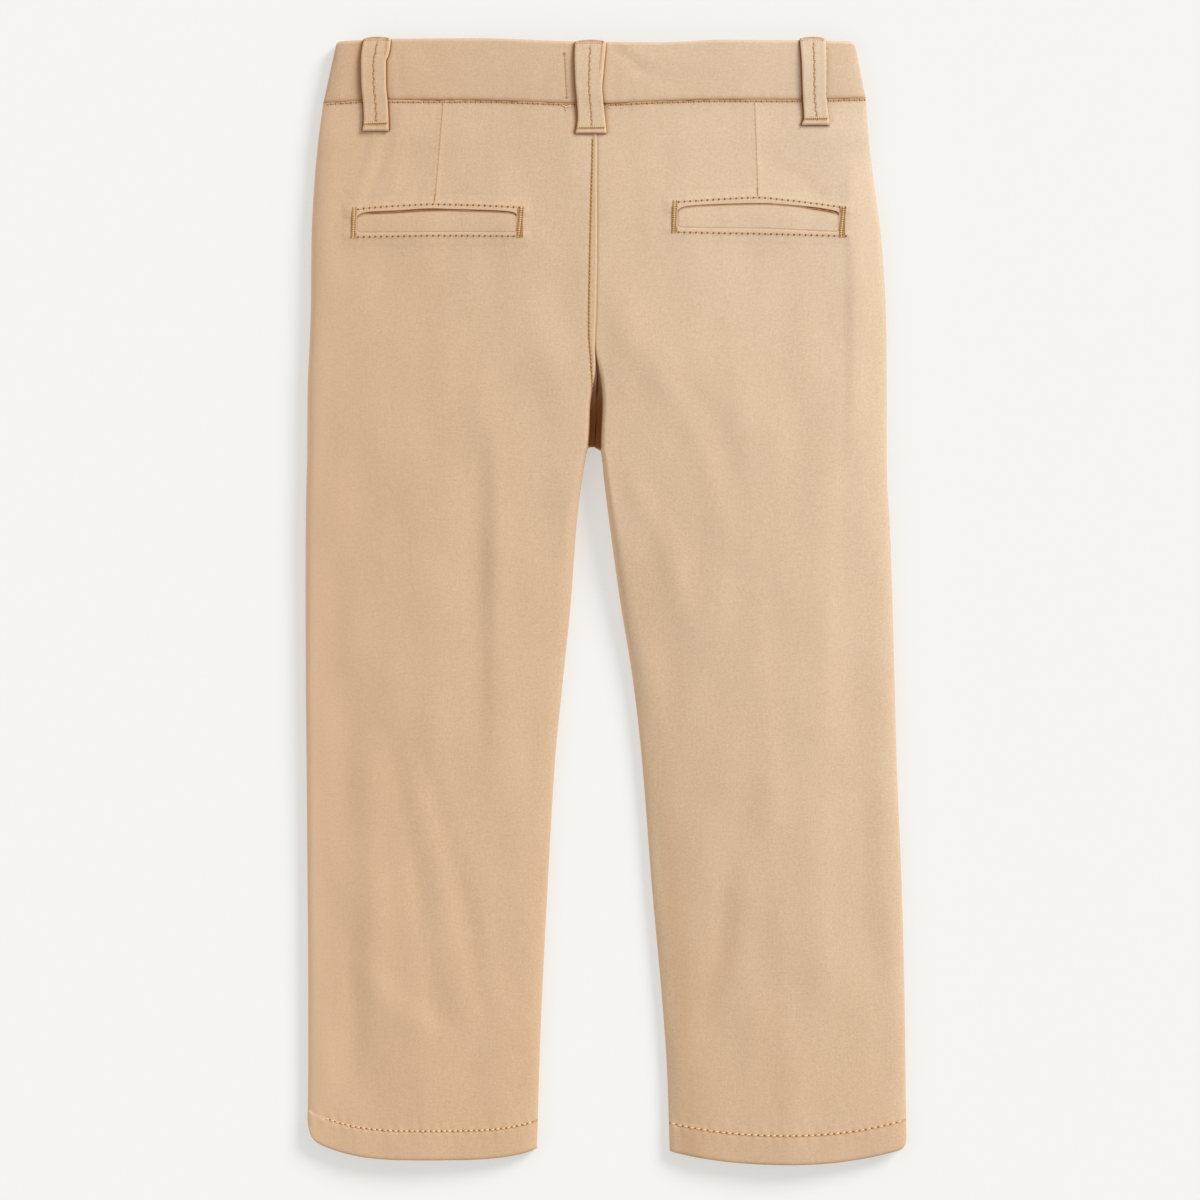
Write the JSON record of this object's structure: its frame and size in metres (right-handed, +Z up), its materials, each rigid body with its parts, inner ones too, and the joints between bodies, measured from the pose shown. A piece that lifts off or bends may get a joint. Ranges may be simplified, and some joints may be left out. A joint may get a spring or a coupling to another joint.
{
  "type": "chino trousers",
  "caption": "Child's straight-leg chino trousers laid flat on their front, back up, with belt loops, darts, welt pockets and turned hems.",
  "frame": {"origin": "centre of the garment's outline on the surface it lies on", "axes": "+Y along the garment towards the waist, +X towards the garment's right side, +Z up from the surface through the front to the back"},
  "size_m": [0.313, 0.5864, 0.0177],
  "materials": {
    "chino_twill": "fine cotton twill, sand beige, matt with a faint sheen",
    "welt_twill": "the same twill, turned and pressed",
    "stitch_thread": "ochre sewing thread",
    "zip_tape": "woven tape with a closed coil",
    "horn_button": "brown, satin"
  },
  "bodies": {
    "root": {"back_left": "chino_twill", "back_right": "chino_twill", "front_left": "chino_twill", "front_right": "chino_twill", "waistband_back": "chino_twill", "waistband_front_left": "chino_twill", "waistband_front_right": "chino_twill", "loop_back_left": "chino_twill", "loop_back_centre": "chino_twill", "loop_back_right": "chino_twill", "loop_front_left": "chino_twill", "loop_front_right": "chino_twill", "welt_left": "welt_twill", "welt_right": "welt_twill", "fly_shield": "chino_twill", "fly_zip": "zip_tape", "waist_button": "horn_button"}
  },
  "joints": []
}
